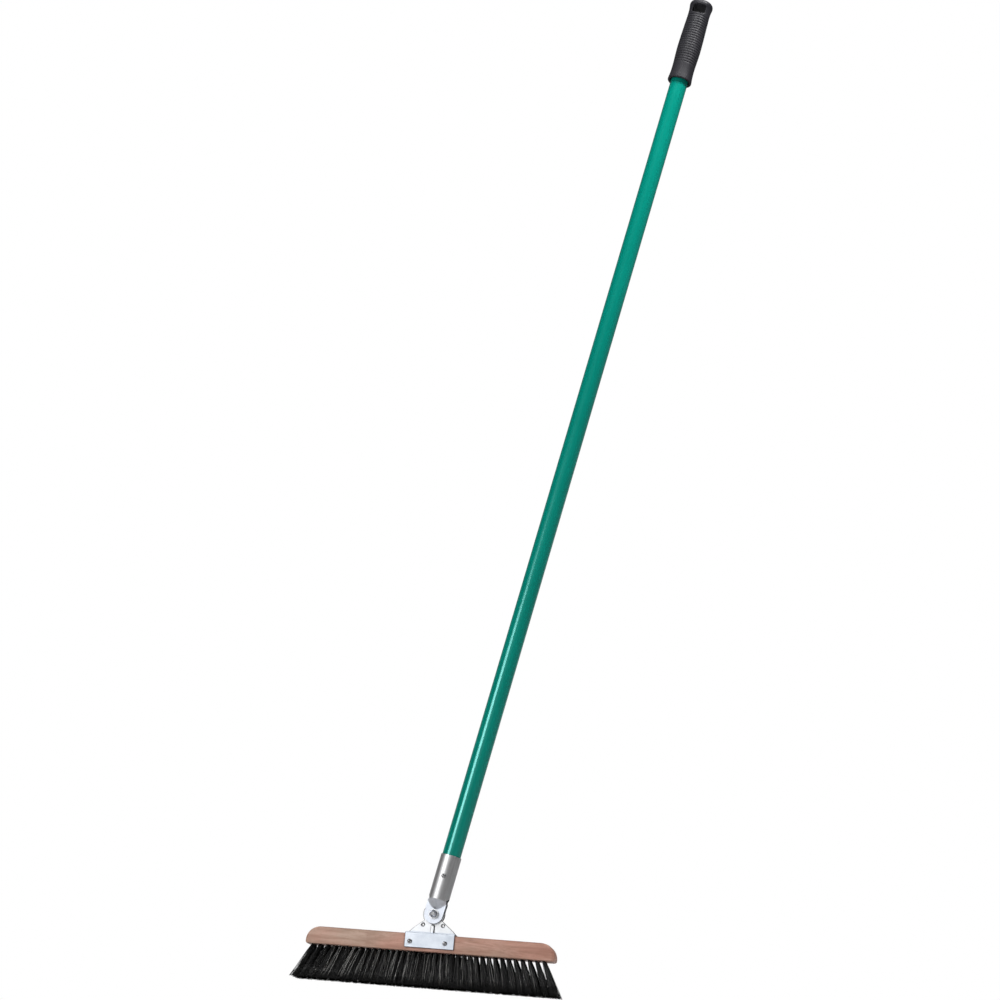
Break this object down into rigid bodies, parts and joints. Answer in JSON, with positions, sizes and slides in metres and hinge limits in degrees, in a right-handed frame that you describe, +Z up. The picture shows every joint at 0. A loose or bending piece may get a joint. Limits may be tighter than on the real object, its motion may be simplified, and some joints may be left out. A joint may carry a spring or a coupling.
{
  "type": "push broom",
  "caption": "Floor broom: wooden block with a fan of black bristles, a folded steel bracket, and a long handle that swings in the plane of the head and has a hanging slot.",
  "frame": {"origin": "centre of the plane of the bristle tips, midway along the head and midway through its depth", "axes": "+Z up out of the block, +X along the head towards the side the handle leans to, +Y towards the back of the head, away from the nut"},
  "size_m": [0.479, 0.058, 1.499],
  "materials": {
    "beech_wood": "sanded, clear satin lacquer",
    "black_bristle": "black fibre, slightly shiny, some grey strands",
    "zinc_plate": "bright zinc plate, soft sheen",
    "drawn_steel": "zinc-plated sheet with lengthwise drawing lines",
    "bright_steel": "bright plated fastener",
    "green_coating": "smooth glossy green plastic coating",
    "black_grip": "moulded charcoal grip, satin, fine rings"
  },
  "bodies": {
    "brush_head": {"brush_block": "beech_wood", "bristle_row_front": "black_bristle", "bristle_row_middle": "black_bristle", "bristle_row_back": "black_bristle", "bracket_plate_front": "zinc_plate", "bracket_plate_back": "zinc_plate", "rivet_left": "drawn_steel", "rivet_right": "drawn_steel", "wood_screw_front_left": "bright_steel", "wood_screw_front_right": "bright_steel", "wood_screw_back_left": "bright_steel", "wood_screw_back_right": "bright_steel", "pivot_bolt": "bright_steel", "pivot_nut": "bright_steel", "washer_front": "zinc_plate", "washer_back": "zinc_plate"},
    "handle": {"fork_socket": "drawn_steel", "socket_screw": "bright_steel", "handle_tube": "green_coating", "hand_grip": "black_grip"}
  },
  "joints": [
    {"name": "handle_swing", "type": "hinge", "parent": "brush_head", "child": "handle", "pos_m": [0, 0, 0.0985], "axis": [0, 1, 0], "range_deg": [-91.2, 68.8]}
  ]
}
